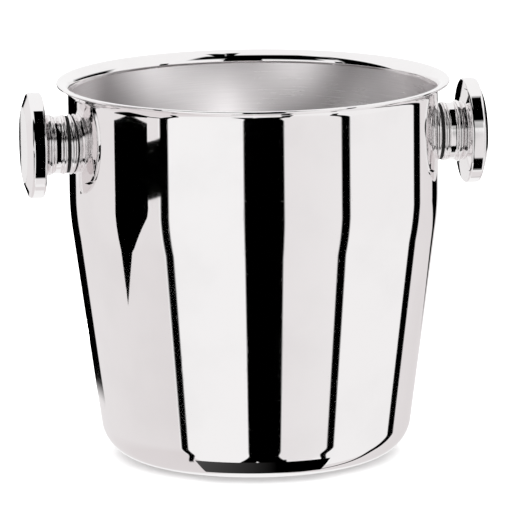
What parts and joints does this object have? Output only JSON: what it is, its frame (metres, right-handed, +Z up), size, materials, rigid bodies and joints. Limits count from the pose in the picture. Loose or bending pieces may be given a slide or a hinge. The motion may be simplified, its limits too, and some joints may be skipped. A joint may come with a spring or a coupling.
{
  "type": "champagne bucket",
  "caption": "Round polished steel champagne bucket with a straight upper wall, tapered lower wall, flared lip and turned knob handles on opposite sides.",
  "frame": {"origin": "centre of the resting face, at the bottom", "axes": "+Z up along the bucket axis, +X towards the right knob, -Y towards the viewer of the front"},
  "size_m": [0.2506, 0.2124, 0.205],
  "materials": {
    "bucket_steel": "mirror-polished outside and lip, fine satin inside",
    "knob_steel": "mirror-polished",
    "nut_steel": "polished",
    "fixing_steel": "satin",
    "gasket_rubber": "matte black",
    "washer_rubber": "translucent white, matte"
  },
  "bodies": {
    "root": {"bucket_shell": "bucket_steel", "left_knob_head": "knob_steel", "right_knob_head": "knob_steel", "left_collar_bead": "knob_steel", "right_collar_bead": "knob_steel", "left_waisted_neck": "knob_steel", "right_waisted_neck": "knob_steel", "left_base_ring": "knob_steel", "right_base_ring": "knob_steel", "left_outer_gasket": "gasket_rubber", "right_outer_gasket": "gasket_rubber", "left_stud": "fixing_steel", "right_stud": "fixing_steel", "left_sealing_washer": "washer_rubber", "right_sealing_washer": "washer_rubber", "left_steel_washer": "fixing_steel", "right_steel_washer": "fixing_steel", "left_dome_nut": "nut_steel", "right_dome_nut": "nut_steel"}
  },
  "joints": []
}
